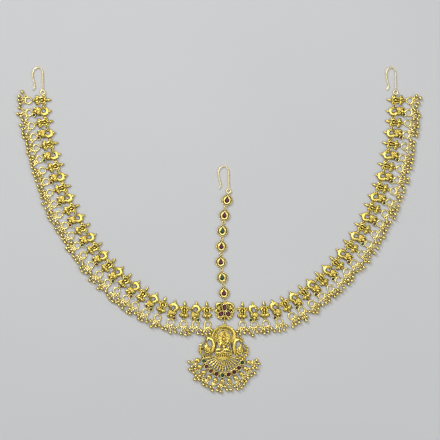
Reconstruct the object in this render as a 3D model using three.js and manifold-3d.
// A forehead chain in antique gold, laid flat: two side chains of cast bird and lotus plates with
// bead drops, a rosette between them, a strand of pear-shaped settings up to a hair hook, and a
// pendant with a seated figure, two birds and a pierced fan. Millimetres, +Z up off the surface.
// The origin is the middle of the rosette's flat back.
import * as THREE from "three";
import { ConvexGeometry } from "three/addons/geometries/ConvexGeometry.js";
import { mergeVertices } from "three/addons/utils/BufferGeometryUtils.js";
import Module from "manifold-3d";

const wasm = await Module();
wasm.setup();

// Jump rings, and the upright eyes that they and the hooks pass through
const RING_RADIUS = 0.95;
const RING_WIRE = 0.25;
const HOOK_WIRE = 0.4;
const EYE_CLEARANCE = 0.32;
const EYE_WALL = 0.25;
const EYE_THICK = 0.5;
const EYE_LIFT = 0.05;
const EYE_BITE = 0.42;

// Hair hooks
const HOOK_EYE = 1.3;
const HOOK_HEIGHT = 16.2;
const HOOK_SPREAD = 6.6;
const HOOK_SPREAD_RIGHT = 6;

// Pear-shaped settings of the centre strand
const LINK_COUNT = 7;
const LINK_PITCH = 10.1;
const LINK_WIDTH = 7.1;
const LINK_THICK = 2;
const PEAR_WIDTH = 3.3;
const PEAR_LENGTH = 4.7;

// Stones and the walls that hold them
const STONE_CLEARANCE = 0.15;
const STONE_WALL = 0.4;
const STONE_HEIGHT = 1.2;
const WALL_RISE = 0.6;
const SEAT_DEPTH = 0.8;
const STONE_CROWN = 0.4;

// Rosette between the side chains
const ROSETTE_WIDTH = 12.9;
const ROSETTE_HEIGHT = 12.4;
const ROSETTE_THICK = 1.9;
const OVAL_WIDTH = 2.3;
const OVAL_LENGTH = 3.7;
const OVAL_ORBIT = 2.75;
const OVAL_COUNT = 3;

// Side chains: lotus and bird plates by turns, each with a bunch of beads below it
const PLATE_COUNT = 27;
const LEFT_PITCH = 7.37;
const RIGHT_PITCH = 7.2;
const PLATE_THICK = 1.8;
const LOTUS_WIDTH = 6.4;
const LOTUS_HEIGHT = 12.8;
const BIRD_WIDTH = 6.2;
const BIRD_HEIGHT = 12.6;
const BIRD_FOOT = 6;
const ARM_LEVEL = 1.2;
const ARM_WIDTH = 0.9;
const ARM_SINK = 0.8;
const CUP_RADIUS = 1.5;
const CUP_HEIGHT = 2.1;
const CUP_ACROSS = 1.9;
const CUP_DOWN = 4.9;
const BUNCH_TOP = 5.5;
const BUNCH_LENGTH = 10.6;
const BUNCH_WIDTH = 6.5;

// Pendant
const PENDANT_LEAN = -2.4;
const HALO_OUTER = 7.9;
const HALO_INNER = 4.9;
const HALO_THICK = 1.7;
const HALO_END = -28;
const AURA_RADIUS = 4.1;
const AURA_END = -60;
const AURA_THICK = 1.3;
const FIGURE_HEIGHT = 17.4;
const FIGURE_WIDTH = 12.2;
const LEGS_RISE = 2.6;
const SEAT_RISE = 2.1;
const ARM_RISE = 2;
const HEAD_WIDTH = 2.5;
const HEAD_LENGTH = 3.4;
const HEAD_THICK = 2.2;
const HEAD_LEVEL = 2;
const HEAD_DOWN = 0.05;
const CROWN_LENGTH = 4;
const CROWN_UP = 0.15;
const CHEST_WIDTH = 3.7;
const CHEST_LENGTH = 5.9;
const CHEST_THICK = 3;
const CHEST_DOWN = 0.31;
const PENDANT_BIRD_WIDTH = 7.2;
const PENDANT_BIRD_HEIGHT = 12;
const PENDANT_BIRD_ACROSS = 9.8;
const PENDANT_BIRD_DOWN = 12.6;
const PENDANT_BIRD_THICK = 2;
const TENDRIL_BULGE = 2.6;
const TENDRIL_WIRE = 0.5;
const FAN_DROP = 11.1;
const FAN_INNER = 3.2;
const FAN_OUTER = 14.4;
const FAN_SPREAD = 82;
const FAN_THICK = 1.3;
const FAN_COLUMNS = 11;
const FAN_COLUMN_TURN = 13.5;
const FAN_ROWS = 4;
const FAN_ROW_START = 5;
const FAN_ROW_PITCH = 1.5;
const FAN_HOLE = 0.8;
const ROUND_WIDTH = 2.7;
const ROUND_COUNT = 9;
const ROUND_ARC = 13.2;
const ROUND_SPREAD = 70;
const FRINGE_SPREAD = 75;
const FRINGE_CAP = 17.3;
const FRINGE_CAP_RADIUS = 1.5;
const FRINGE_CAP_TOP = 0.8;
const FRINGE_CAP_HEIGHT = 2.4;
const FRINGE_NECK = 0.9;
const FRINGE_LENGTH = 7.6;
const FRINGE_WIDTH = 5.2;
const FRINGE_THICK = 1.7;

// How each drop of the fringe lies, from left to right, in degrees from straight down
const FRINGE_LIE = [-30, -42, -44, -34, -20, -6, 12, 26, 40, 56, 84];

// The middle of each side chain and of the strand, as points chosen along the lie of the chain
const LEFT_ROUTE = [
  [0, 0], [-19.2, -0.1], [-34.2, 1.3], [-48.2, 7.5], [-60.8, 16.4], [-72.5, 26.7], [-82.6, 37.9],
  [-90.5, 49.9], [-97.9, 62.4], [-104.2, 75.3], [-108.9, 89], [-112.9, 102.6], [-116.1, 115.8],
  [-118.9, 130.3], [-119.2, 140],
];
const RIGHT_ROUTE = [
  [0, 0], [19, -0.2], [34.1, 2], [47.4, 9], [59.5, 17.9], [69.6, 27.6], [79.3, 38.8],
  [87.9, 50.6], [94.7, 63.1], [100.4, 77], [104.7, 90.5], [107.8, 103.5], [110, 117.6],
  [111.4, 131], [112, 140],
];
const STRAND_ROUTE = [
  [0, 0], [-0.5, 13.3], [-1.7, 23.5], [-2.5, 33.7], [-2, 43.9], [-1.2, 53.9], [0.1, 64], [1.8, 73.6],
  [3, 81],
];

// Half of the rosette from its top down, in shares of its half width and half height: a leaf tip,
// a scroll lobe, a short straight side and a scalloped lower edge
const ROSETTE_SIDE = 0.86;
const ROSETTE_HALF = [
  { across: 0, up: 1 },
  { across: 0.17, up: 0.85 },
  { across: 0.45, up: 0.97 },
  { across: 0.82, up: 0.84 },
  { across: 1, up: 0.52 },
  { across: ROSETTE_SIDE, up: 0.32 },
  { across: ROSETTE_SIDE, up: 0.04 },
  { across: 1, up: -0.14 },
  { across: 0.86, up: -0.38 },
  { across: 0.82, up: -0.6 },
  { across: 0.58, up: -0.68 },
  { across: 0.46, up: -0.88 },
  { across: 0.22, up: -0.86 },
  { across: 0, up: -1 },
];

// Half of a lotus plate, above and below its arm, in shares of its half width and its height
const LOTUS_CROWN_HALF = [
  { across: 0, up: 0.52 },
  { across: 0.22, up: 0.4 },
  { across: 0.14, up: 0.29 },
  { across: 0.85, up: 0.17 },
];
const LOTUS_BASE_HALF = [
  { across: 0.42, up: -0.04 },
  { across: 0.4, up: -0.2 },
  { across: 1, up: -0.28 },
  { across: 0.25, up: -0.45 },
];

// A bird with its neck arched over to the left, in shares of its width and of its height
const BIRD_OUTLINE = [
  { across: -0.13, up: 0 },
  { across: 0.14, up: 0.16 },
  { across: 0.38, up: 0.33 },
  { across: 0.5, up: 0.56 },
  { across: 0.42, up: 0.79 },
  { across: 0.13, up: 0.88 },
  { across: 0.02, up: 1 },
  { across: -0.13, up: 0.87 },
  { across: -0.43, up: 0.77 },
  { across: -0.5, up: 0.62 },
  { across: -0.37, up: 0.56 },
  { across: -0.2, up: 0.69 },
  { across: 0.07, up: 0.67 },
  { across: 0.1, up: 0.55 },
  { across: -0.26, up: 0.49 },
  { across: -0.5, up: 0.34 },
  { across: -0.42, up: 0.14 },
  { across: -0.31, up: 0.02 },
];

// Half of a bunch of beads from its ring down, in shares of its half width and its length
const BUNCH_HALF = [
  { across: 0.68, down: 0.22 },
  { across: 0.6, down: 0.5 },
  { across: 1, down: 0.8 },
  { across: 0.5, down: 1 },
];

// A hair hook from its eye up over the bend to its kicked-out end, in shares of spread and height
const HOOK_PATH = [
  { across: 0, up: 0.08 },
  { across: 0.01, up: 0.45 },
  { across: -0.03, up: 0.82 },
  { across: -0.24, up: 0.97 },
  { across: -0.5, up: 1 },
  { across: -0.82, up: 0.94 },
  { across: -1, up: 0.78 },
  { across: -0.97, up: 0.6 },
  { across: -0.8, up: 0.3 },
  { across: -0.8, up: 0.2 },
  { across: -0.97, up: 0.1 },
];

// The seated figure's parts, in shares of its width and of its height below the halo's middle
const FIGURE_LEGS = [
  { across: 0.3, down: 0.6 },
  { across: 0.46, down: 0.56 },
  { across: 0.46, down: 0.5 },
  { across: 0.4, down: 0.45 },
  { across: 0.12, down: 0.43 },
];
const FIGURE_SEAT = [
  { across: 0.44, down: 0.57 },
  { across: 0.5, down: 0.64 },
  { across: 0.36, down: 0.71 },
  { across: 0.22, down: 0.75 },
  { across: 0.22, down: 0.83 },
];
const FIGURE_ARM = [
  { across: 0.08, down: 0.19 },
  { across: 0.22, down: 0.19 },
  { across: 0.31, down: 0.05 },
  { across: 0.4, down: 0.09 },
  { across: 0.41, down: 0.24 },
  { across: 0.34, down: 0.38 },
  { across: 0.25, down: 0.44 },
  { across: 0.22, down: 0.38 },
  { across: 0.27, down: 0.29 },
  { across: 0.1, down: 0.3 },
];

// The tendril outside a pendant bird, in shares of its bulge and of the bird's height
const TENDRIL_PATH = [
  { out: -0.28, up: 0.35 },
  { out: 0.8, up: 0.5 },
  { out: 1, up: 0.3 },
  { out: 0.6, up: -0.1 },
];

const GOLD = new THREE.MeshStandardMaterial({ color: 0xc79a3b, roughness: 0.38, metalness: 1 });
const WIRE_GOLD = new THREE.MeshStandardMaterial({ color: 0xd8b25a, roughness: 0.3, metalness: 1 });
const RUBY = new THREE.MeshStandardMaterial({ color: 0x7a1030, roughness: 0.12, metalness: 0 });
const EMERALD = new THREE.MeshStandardMaterial({ color: 0x14532d, roughness: 0.12, metalness: 0 });

// How finely round forms are stepped
const MERGE = 1e-4;
const STONE_SIDES = 8;
const EYE_SIDES = 6;
const CUP_SIDES = 6;
const WIRE_SIDES = 5;
const HOOK_STEPS = 15;
const TENDRIL_STEPS = 5;
const RING_SIDES = 10;
const PEAR_SIDES = 10;
const HALO_STEPS = 18;
const HALO_INNER_STEPS = 12;
const AURA_STEPS = 10;
const FAN_STEPS = 14;
const FAN_INNER_STEPS = 6;
const HEAD_STEPS = 4;
const ROUTE_STEPS = 600;

// Geometry to solids and back

function toSolid(geometry) {
  const flat = geometry.index ? geometry.toNonIndexed() : geometry;
  const bare = new THREE.BufferGeometry().setAttribute("position", flat.getAttribute("position"));
  const merged = mergeVertices(bare, MERGE);
  const corners = merged.index.array;
  const kept = [];
  for (let i = 0; i < corners.length; i += 3) {
    const [a, b, c] = corners.subarray(i, i + 3);
    if (a !== b && b !== c && a !== c) kept.push(a, b, c);
  }
  return new wasm.Manifold(new wasm.Mesh({
    numProp: 3,
    vertProperties: merged.getAttribute("position").array,
    triVerts: new Uint32Array(kept),
  }));
}

function join(geometries) {
  return geometries.map(toSolid).reduce((whole, piece) => whole.add(piece));
}

function cut(solid, geometries) {
  return solid.subtract(join(geometries));
}

function toMesh(name, solid, material) {
  const { numProp, vertProperties, triVerts, numVert } = solid.getMesh();
  const positions = new Float32Array(numVert * 3);
  for (let i = 0; i < numVert; i += 1) {
    positions.set(vertProperties.subarray(i * numProp, i * numProp + 3), i * 3);
  }
  const geometry = new THREE.BufferGeometry()
    .setAttribute("position", new THREE.BufferAttribute(positions, 3))
    .setIndex(new THREE.BufferAttribute(triVerts, 1));
  geometry.computeVertexNormals();
  const mesh = new THREE.Mesh(geometry, material);
  mesh.name = name;
  return mesh;
}

// Outlines and simple forms

const radians = THREE.MathUtils.degToRad;

function arc(x, y, radiusX, radiusY, from, to, count) {
  return Array.from({ length: count }, (_, i) => {
    const angle = radians(from + ((to - from) * i) / (count - 1));
    return new THREE.Vector2(x + radiusX * Math.cos(angle), y + radiusY * Math.sin(angle));
  });
}

function ellipse(width, length, sides) {
  const lastTurn = 360 - 360 / sides;
  return arc(0, 0, width / 2, length / 2, 180 / sides, lastTurn + 180 / sides, sides);
}

// A pear with its point at the top: a round bottom and two straight flanks that touch it
function pear(width, length, sides) {
  const radius = width / 2;
  const bottom = -length / 2 + radius;
  const flank = THREE.MathUtils.radToDeg(Math.acos(radius / (length - radius)));
  const round = arc(0, bottom, radius, radius, 90 + flank, 450 - flank, sides - 1);
  return [...round, new THREE.Vector2(0, length / 2)];
}

// A half outline and the mirror image of another, as one closed outline from top to bottom and
// back; both halves are the same unless a second one is given
function mirrored(half, otherHalf = half) {
  const other = otherHalf.filter((p) => p.x !== 0).map((p) => new THREE.Vector2(-p.x, p.y));
  return [...half, ...other.reverse()];
}

function slab(points, bottom, top, holes = []) {
  const shape = new THREE.Shape(points);
  shape.holes = holes.map((hole) => new THREE.Path(hole));
  const depth = top - bottom;
  return new THREE.ExtrudeGeometry(shape, { depth, bevelEnabled: false }).translate(0, 0, bottom);
}

function sweep(points, radius, sides, steps) {
  const path = new THREE.CatmullRomCurve3(points, false, "centripetal");
  const section = new THREE.Shape(ellipse(2 * radius, 2 * radius, sides));
  return new THREE.ExtrudeGeometry(section, { steps, extrudePath: path, bevelEnabled: false });
}

// A cut stone: a flat bottom, a straight girdle and a ring of facets up to its table
function cutStone(outline, bottom) {
  const level = (points, z) => points.map(({ x, y }) => new THREE.Vector3(x, y, z));
  const top = bottom + STONE_HEIGHT;
  const table = outline.map((p) => p.clone().setLength(p.length() - STONE_CROWN));
  return new ConvexGeometry([
    ...level(outline, bottom),
    ...level(outline, top - STONE_CROWN),
    ...level(table, top),
  ]);
}

// An upright eye: its hole runs across X, and a wire of the given radius passes through it
const eyeHole = (wire) => wire + EYE_CLEARANCE;
const eyeRadius = (wire) => eyeHole(wire) + EYE_WALL;
const eyeLevel = (wire) => eyeRadius(wire) + EYE_LIFT;

function eye(wire, y) {
  const hole = ellipse(2 * eyeHole(wire), 2 * eyeHole(wire), EYE_SIDES);
  const outside = ellipse(2 * eyeRadius(wire), 2 * eyeRadius(wire), EYE_SIDES);
  return slab(outside, -EYE_THICK / 2, EYE_THICK / 2, [hole])
    .rotateY(Math.PI / 2)
    .translate(0, y, eyeLevel(wire));
}

// How far an eye's middle stands off the edge that carries it
const eyeStandoff = (wire) => eyeRadius(wire) - EYE_BITE;

function ringAt(name, x, y) {
  const torus = new THREE.TorusGeometry(RING_RADIUS, RING_WIRE, WIRE_SIDES, RING_SIDES)
    .translate(x, y, eyeLevel(RING_WIRE));
  return toMesh(name, toSolid(torus), WIRE_GOLD);
}

// A place on a route: the point at a distance along it, and the way on. Past its last point
// the route runs straight on.
function routeOf(points) {
  const curve = new THREE.CatmullRomCurve3(points.map(([x, y]) => new THREE.Vector3(x, y, 0)));
  curve.arcLengthDivisions = ROUTE_STEPS;
  const length = curve.getLength();
  return (distance) => {
    const share = Math.min(distance / length, 1);
    const point = curve.getPointAt(share);
    const way = curve.getTangentAt(share);
    point.addScaledVector(way, Math.max(distance - length, 0));
    return { point, way };
  };
}

// The matrix that stands a piece at a place, turned so that its +Y runs along a direction
function standing(point, direction) {
  const turn = new THREE.Matrix4().makeRotationZ(Math.atan2(direction.y, direction.x) - Math.PI / 2);
  return turn.setPosition(point);
}

// Hair hook, with its eye's middle above the mesh's origin

function hook(name, spread) {
  const bend = HOOK_PATH.map(
    ({ across, up }) => new THREE.Vector3(across * spread, up * HOOK_HEIGHT, eyeLevel(HOOK_WIRE)),
  );
  const wire = sweep(bend, HOOK_WIRE, WIRE_SIDES, HOOK_STEPS);
  const loop = new THREE.TorusGeometry(HOOK_EYE, HOOK_WIRE, WIRE_SIDES, RING_SIDES)
    .translate(0, 0, eyeLevel(HOOK_WIRE));
  return toMesh(name, join([loop, wire]), WIRE_GOLD);
}

// A raised wall with a seat for a stone cut down into the solid below it
function stoneWall(outline, level) {
  return slab(outline, level - SEAT_DEPTH, level + WALL_RISE);
}

function stoneSeat(outline, level) {
  return slab(outline, level + WALL_RISE - SEAT_DEPTH, level + 2 * WALL_RISE);
}

const stoneBottom = (level) => level + WALL_RISE - SEAT_DEPTH + STONE_CLEARANCE;

// Pear settings of the centre strand

const LINK_EYE = LINK_PITCH / 2 - RING_RADIUS;
const LINK_LENGTH = 2 * (LINK_EYE - eyeStandoff(RING_WIRE));
const linkTopEye = (wire) => LINK_LENGTH / 2 + eyeStandoff(wire);

function strandLink(name, upperWire) {
  const spare = 2 * STONE_CLEARANCE;
  const walled = spare + 2 * STONE_WALL;
  const rim = pear(LINK_WIDTH, LINK_LENGTH, PEAR_SIDES);
  const wall = pear(PEAR_WIDTH + walled, PEAR_LENGTH + walled, PEAR_SIDES);
  const seat = pear(PEAR_WIDTH + spare, PEAR_LENGTH + spare, STONE_SIDES + 1);
  const body = join([
    slab(rim, 0, LINK_THICK),
    stoneWall(wall, LINK_THICK),
    eye(RING_WIRE, -LINK_EYE),
    eye(upperWire, linkTopEye(upperWire)),
  ]);
  return toMesh(name, cut(body, [stoneSeat(seat, LINK_THICK)]), GOLD);
}

function strandStone(name, material) {
  const outline = pear(PEAR_WIDTH, PEAR_LENGTH, STONE_SIDES + 1);
  return toMesh(name, toSolid(cutStone(outline, stoneBottom(LINK_THICK))), material);
}

// Rosette with three oval stones, and an eye on each of its four sides

const ROSETTE_TOP_EYE = ROSETTE_HEIGHT / 2 + eyeStandoff(RING_WIRE);
const ROSETTE_SIDE_EYE = (ROSETTE_SIDE * ROSETTE_WIDTH) / 2 + eyeStandoff(RING_WIRE);

// The places of the oval stones, as matrices
function ovalPlaces() {
  return Array.from({ length: OVAL_COUNT }, (_, i) => {
    const angle = Math.PI / 2 + (2 * Math.PI * i) / OVAL_COUNT;
    const way = new THREE.Vector3(Math.cos(angle), Math.sin(angle), 0);
    return standing(way.clone().multiplyScalar(OVAL_ORBIT), way);
  });
}

function rosette() {
  const spare = 2 * STONE_CLEARANCE;
  const walled = spare + 2 * STONE_WALL;
  const half = ROSETTE_HALF.map(({ across, up }) => new THREE.Vector2(
    (across * ROSETTE_WIDTH) / 2,
    (up * ROSETTE_HEIGHT) / 2,
  ));
  const wall = ellipse(OVAL_WIDTH + walled, OVAL_LENGTH + walled, RING_SIDES);
  const seat = ellipse(OVAL_WIDTH + spare, OVAL_LENGTH + spare, STONE_SIDES);
  const sideEye = (side) => eye(RING_WIRE, ROSETTE_SIDE_EYE)
    .rotateZ((-side * Math.PI) / 2)
    .translate(0, ARM_LEVEL, 0);
  const body = join([
    slab(mirrored(half), 0, ROSETTE_THICK),
    ...ovalPlaces().map((place) => stoneWall(wall, ROSETTE_THICK).applyMatrix4(place)),
    eye(RING_WIRE, ROSETTE_TOP_EYE),
    eye(RING_WIRE, -ROSETTE_TOP_EYE),
    sideEye(-1),
    sideEye(1),
  ]);
  const seats = ovalPlaces().map((place) => stoneSeat(seat, ROSETTE_THICK).applyMatrix4(place));
  return toMesh("rosette", cut(body, seats), GOLD);
}

function rosetteStones() {
  const outline = ellipse(OVAL_WIDTH, OVAL_LENGTH, STONE_SIDES);
  return ovalPlaces().map((place, i) => {
    const stone = cutStone(outline, stoneBottom(ROSETTE_THICK)).applyMatrix4(place);
    return toMesh(`rosette_stone_${i + 1}`, toSolid(stone), RUBY);
  });
}

// Side chains. A plate's own frame has +Y towards its finial, and +X towards the rosette on the
// left chain and away from it on the right one, which is the left one's mirror image.

const pitchOf = (side) => (side < 0 ? LEFT_PITCH : RIGHT_PITCH);
const END_REACH = LOTUS_WIDTH / 2;
const FIRST_PLATE = ROSETTE_SIDE_EYE + 2 * RING_RADIUS + eyeStandoff(RING_WIRE) + END_REACH;

function birdPoints(width, height, side) {
  return BIRD_OUTLINE.map(
    ({ across, up }) => new THREE.Vector2(-side * across * width, up * height),
  );
}

// Half of a bunch of beads that hangs from a height, on one side of its middle
function bunchHalf(width, length, top, side = 1) {
  return BUNCH_HALF.map(
    ({ across, down }) => new THREE.Vector2((side * across * width) / 2, top - down * length),
  );
}

// A lotus plate with its beads, whose arms reach to given distances on its +X and -X side. The
// ring that joins it to a bird runs on from its arm, far enough to sink into the bird.
function lotusPlate(right, left) {
  const atShares = ({ across, up }) => new THREE.Vector2(
    (across * LOTUS_WIDTH) / 2,
    up * LOTUS_HEIGHT,
  );
  const half = (reach) => [
    ...LOTUS_CROWN_HALF.map(atShares),
    new THREE.Vector2(reach, ARM_LEVEL + ARM_WIDTH / 2),
    new THREE.Vector2(reach, ARM_LEVEL - ARM_WIDTH / 2),
    ...LOTUS_BASE_HALF.map(atShares),
    ...bunchHalf(BUNCH_WIDTH, BUNCH_LENGTH, -BUNCH_TOP),
  ];
  return [slab(mirrored(half(right), half(left)), 0, PLATE_THICK)];
}

// A bird plate with its beads, and the cup of a small stone beside its foot
function birdPlate(side) {
  const bird = birdPoints(BIRD_WIDTH, BIRD_HEIGHT, side).map((p) => p.setY(p.y - BIRD_FOOT));
  const near = bunchHalf(BUNCH_WIDTH, BUNCH_LENGTH, -BUNCH_TOP, side);
  const far = bunchHalf(BUNCH_WIDTH, BUNCH_LENGTH, -BUNCH_TOP, -side);
  const cup = ellipse(2 * CUP_RADIUS, 2 * CUP_RADIUS, CUP_SIDES);
  return [
    slab([...bird, ...near, ...far.reverse()], 0, PLATE_THICK),
    slab(cup, 0, CUP_HEIGHT).translate(-side * CUP_ACROSS, -CUP_DOWN, 0),
  ];
}

// The places of the plates along a side chain; side is -1 on the left and 1 on the right
function platePlaces(side) {
  const route = routeOf(side < 0 ? LEFT_ROUTE : RIGHT_ROUTE);
  return Array.from({ length: PLATE_COUNT }, (_, i) => {
    const { point, way } = route(FIRST_PLATE + i * pitchOf(side));
    return standing(point, new THREE.Vector3(-side * way.y, side * way.x, 0));
  });
}

// The upright eye at one end of a side chain, on the arm of its lotus plate
function endEye(wire, outward) {
  const reach = END_REACH + eyeStandoff(wire);
  return eye(wire, reach).rotateZ((-outward * Math.PI) / 2).translate(0, ARM_LEVEL, 0);
}

function sideChain(name, side) {
  const places = platePlaces(side);
  const toBird = pitchOf(side) - BIRD_WIDTH / 2 + ARM_SINK;
  const pieces = places.flatMap((place, i) => {
    const inner = i === 0 ? END_REACH : toBird;
    const outer = i === PLATE_COUNT - 1 ? END_REACH : toBird;
    const lotus = side < 0 ? [inner, outer] : [outer, inner];
    const plate = i % 2 === 0 ? lotusPlate(...lotus) : birdPlate(side);
    return plate.map((piece) => piece.applyMatrix4(place));
  });
  const eyes = [
    endEye(RING_WIRE, -side).applyMatrix4(places[0]),
    endEye(HOOK_WIRE, side).applyMatrix4(places[PLATE_COUNT - 1]),
  ];
  return toMesh(name, join([...pieces, ...eyes]), GOLD);
}

// The hook on the outer end of a side chain. All hooks lie pointing straight up.
function sideHook(name, side, spread) {
  const reach = END_REACH + eyeStandoff(HOOK_WIRE) + HOOK_EYE;
  const mesh = hook(name, spread);
  const place = platePlaces(side)[PLATE_COUNT - 1];
  mesh.position.set(side * reach, ARM_LEVEL, 0).applyMatrix4(place);
  return mesh;
}

// Pendant, in its own frame: the middle of its upper eye at the origin, hanging along -Y

const HALO_Y = -(HALO_OUTER + eyeStandoff(RING_WIRE));

function halo() {
  const outside = arc(0, 0, HALO_OUTER, HALO_OUTER, HALO_END, 180 - HALO_END, HALO_STEPS);
  const inside = arc(
    0, 0, HALO_INNER, HALO_INNER, 180 - HALO_END, HALO_END, HALO_INNER_STEPS,
  );
  const aura = arc(0, 0, AURA_RADIUS, AURA_RADIUS, AURA_END, 180 - AURA_END, AURA_STEPS);
  return [slab([...outside, ...inside], 0, HALO_THICK), slab(aura, 0, AURA_THICK)];
}

function figurePoints(table, side = 1) {
  return table.map(({ across, down }) => new THREE.Vector2(
    side * across * FIGURE_WIDTH,
    -down * FIGURE_HEIGHT,
  ));
}

// A rounded part of the figure, at a share of its height below the halo's middle
function rounded(width, length, thick, down, level) {
  return new THREE.SphereGeometry(0.5, STONE_SIDES, HEAD_STEPS)
    .scale(width, length, thick)
    .translate(0, -down * FIGURE_HEIGHT, level);
}

function seatedFigure() {
  const legs = mirrored(figurePoints(FIGURE_LEGS));
  const seat = mirrored(figurePoints(FIGURE_SEAT));
  const crown = new THREE.ConeGeometry(HEAD_WIDTH / 2, CROWN_LENGTH, STONE_SIDES)
    .translate(0, CROWN_UP * FIGURE_HEIGHT, HEAD_WIDTH / 2);
  return [
    slab(legs, 0, LEGS_RISE),
    slab(seat, 0, SEAT_RISE),
    slab(figurePoints(FIGURE_ARM), 0, ARM_RISE),
    slab(figurePoints(FIGURE_ARM, -1), 0, ARM_RISE),
    rounded(HEAD_WIDTH, HEAD_LENGTH, HEAD_THICK, HEAD_DOWN, HEAD_LEVEL),
    rounded(CHEST_WIDTH, CHEST_LENGTH, CHEST_THICK, CHEST_DOWN, CHEST_THICK / 2),
    crown,
  ];
}

// One of the two birds, with the tendril that bulges outside it
function pendantBird(side) {
  const outline = birdPoints(PENDANT_BIRD_WIDTH, PENDANT_BIRD_HEIGHT, side);
  const bird = slab(outline, 0, PENDANT_BIRD_THICK);
  const path = TENDRIL_PATH.map(({ out, up }) => new THREE.Vector3(
    side * (PENDANT_BIRD_WIDTH / 2 + out * TENDRIL_BULGE),
    up * PENDANT_BIRD_HEIGHT,
    TENDRIL_WIRE,
  ));
  const tendril = sweep(path, TENDRIL_WIRE, WIRE_SIDES, TENDRIL_STEPS);
  return [bird, tendril].map(
    (piece) => piece.translate(side * PENDANT_BIRD_ACROSS, -PENDANT_BIRD_DOWN, 0),
  );
}

// A spread of evenly turned places below the fan's middle, as angles from straight down
function spread(count, half) {
  return Array.from({ length: count }, (_, i) => -half + (2 * half * i) / (count - 1));
}

function fanPlace(angle, radius) {
  const turn = radians(angle);
  const way = new THREE.Vector3(Math.sin(turn), -Math.cos(turn), 0);
  return standing(way.clone().multiplyScalar(radius), way.clone().negate());
}

function fan() {
  const outside = arc(0, 0, FAN_OUTER, FAN_OUTER, -90 - FAN_SPREAD, -90 + FAN_SPREAD, FAN_STEPS);
  const inside = arc(
    0, 0, FAN_INNER, FAN_INNER, -90 + FAN_SPREAD, -90 - FAN_SPREAD, FAN_INNER_STEPS,
  );
  return slab([...outside, ...inside], 0, FAN_THICK);
}

function fanHoles() {
  const square = ellipse(FAN_HOLE * Math.SQRT2, FAN_HOLE * Math.SQRT2, 4);
  const columns = spread(FAN_COLUMNS, (FAN_COLUMN_TURN * (FAN_COLUMNS - 1)) / 2);
  return columns.flatMap((angle) => Array.from({ length: FAN_ROWS }, (_, row) => {
    const place = fanPlace(angle, FAN_ROW_START + row * FAN_ROW_PITCH);
    return slab(square, -FAN_THICK, 2 * FAN_THICK).applyMatrix4(place);
  }));
}

// A capped drop of the fringe: a neck to the fan's edge, a domed cap and a bunch of beads that
// lies turned about the cap
function fringeDrop(angle, lie) {
  const root = FRINGE_CAP - FAN_OUTER + FRINGE_NECK;
  const neck = mirrored([
    new THREE.Vector2(FRINGE_NECK / 2, root),
    new THREE.Vector2(FRINGE_NECK / 2, 0),
  ]);
  const cap = new THREE.CylinderGeometry(
    FRINGE_CAP_TOP, FRINGE_CAP_RADIUS, FRINGE_CAP_HEIGHT, RING_SIDES,
  );
  const beads = mirrored([
    new THREE.Vector2(FRINGE_NECK / 2, 0),
    ...bunchHalf(FRINGE_WIDTH, FRINGE_LENGTH, 0),
  ]);
  return [
    slab(neck, 0, FAN_THICK),
    cap.rotateX(Math.PI / 2).translate(0, 0, FRINGE_CAP_HEIGHT / 2),
    slab(beads, 0, FRINGE_THICK).rotateZ(radians(lie - angle)),
  ].map((piece) => piece.applyMatrix4(fanPlace(angle, FRINGE_CAP)));
}

function pendantBody() {
  const spare = 2 * STONE_CLEARANCE;
  const walled = spare + 2 * STONE_WALL;
  const wall = ellipse(ROUND_WIDTH + walled, ROUND_WIDTH + walled, RING_SIDES);
  const seat = ellipse(ROUND_WIDTH + spare, ROUND_WIDTH + spare, STONE_SIDES);
  const places = spread(ROUND_COUNT, ROUND_SPREAD).map((angle) => fanPlace(angle, ROUND_ARC));
  const aboveFan = [...halo(), ...seatedFigure(), ...pendantBird(-1), ...pendantBird(1)]
    .map((piece) => piece.translate(0, HALO_Y, 0));
  const belowFan = [
    ...places.map((place) => slab(wall, 0, FAN_THICK + WALL_RISE).applyMatrix4(place)),
    ...spread(FRINGE_LIE.length, FRINGE_SPREAD).flatMap(
      (angle, i) => fringeDrop(angle, FRINGE_LIE[i]),
    ),
  ].map((piece) => piece.translate(0, HALO_Y - FAN_DROP, 0));
  const pierced = cut(toSolid(fan()), fanHoles()).translate([0, HALO_Y - FAN_DROP, 0]);
  const seats = places.map((place) => stoneSeat(seat, FAN_THICK)
    .applyMatrix4(place)
    .translate(0, HALO_Y - FAN_DROP, 0));
  return cut(join([eye(RING_WIRE, 0), ...aboveFan, ...belowFan]).add(pierced), seats);
}

function pendantStones() {
  const outline = ellipse(ROUND_WIDTH, ROUND_WIDTH, STONE_SIDES);
  return spread(ROUND_COUNT, ROUND_SPREAD).map((angle, i) => {
    const stone = cutStone(outline, stoneBottom(FAN_THICK))
      .applyMatrix4(fanPlace(angle, ROUND_ARC))
      .translate(0, HALO_Y - FAN_DROP, 0);
    const green = i % ((ROUND_COUNT - 1) / 2) === 0;
    return toMesh(`pendant_stone_${i + 1}`, toSolid(stone), green ? EMERALD : RUBY);
  });
}

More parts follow.
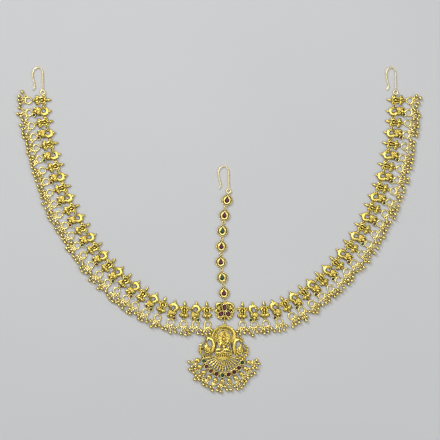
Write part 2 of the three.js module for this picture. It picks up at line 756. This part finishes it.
// The whole chain

function centreStrand() {
  const route = routeOf(STRAND_ROUTE);
  const first = ROSETTE_TOP_EYE + 2 * RING_RADIUS + LINK_EYE;
  const group = new THREE.Group();
  group.add(ringAt("strand_ring_1", 0, ROSETTE_TOP_EYE + RING_RADIUS));
  for (let i = 0; i < LINK_COUNT; i += 1) {
    const last = i === LINK_COUNT - 1;
    const { point, way } = route(first + i * LINK_PITCH);
    const place = standing(point, way);
    const green = i % 3 === 1;
    const link = new THREE.Group();
    link.applyMatrix4(place);
    link.add(strandLink(`strand_link_${i + 1}`, last ? HOOK_WIRE : RING_WIRE));
    link.add(strandStone(`strand_stone_${i + 1}`, green ? EMERALD : RUBY));
    group.add(link);
    if (last) {
      const top = hook("hook_centre", HOOK_SPREAD);
      top.position.set(0, linkTopEye(HOOK_WIRE) + HOOK_EYE, 0).applyMatrix4(place);
      group.add(top);
    } else {
      const between = route(first + (i + 0.5) * LINK_PITCH).point;
      group.add(ringAt(`strand_ring_${i + 2}`, between.x, between.y));
    }
  }
  return group;
}

function pendant() {
  const group = new THREE.Group();
  group.add(toMesh("pendant", pendantBody(), GOLD), ...pendantStones());
  group.position.set(0, -(ROSETTE_TOP_EYE + 2 * RING_RADIUS), 0);
  group.rotation.z = radians(PENDANT_LEAN);
  return group;
}

const headChain = new THREE.Group();
headChain.name = "head_chain";
headChain.add(rosette(), ...rosetteStones());
headChain.add(centreStrand());
headChain.add(pendant());
headChain.add(ringAt("pendant_ring", 0, -(ROSETTE_TOP_EYE + RING_RADIUS)));
headChain.add(ringAt("side_ring_left", -(ROSETTE_SIDE_EYE + RING_RADIUS), ARM_LEVEL));
headChain.add(ringAt("side_ring_right", ROSETTE_SIDE_EYE + RING_RADIUS, ARM_LEVEL));
headChain.add(sideChain("side_chain_left", -1));
headChain.add(sideChain("side_chain_right", 1));
headChain.add(sideHook("hook_left", -1, HOOK_SPREAD));
headChain.add(sideHook("hook_right", 1, HOOK_SPREAD_RIGHT));

export default headChain;
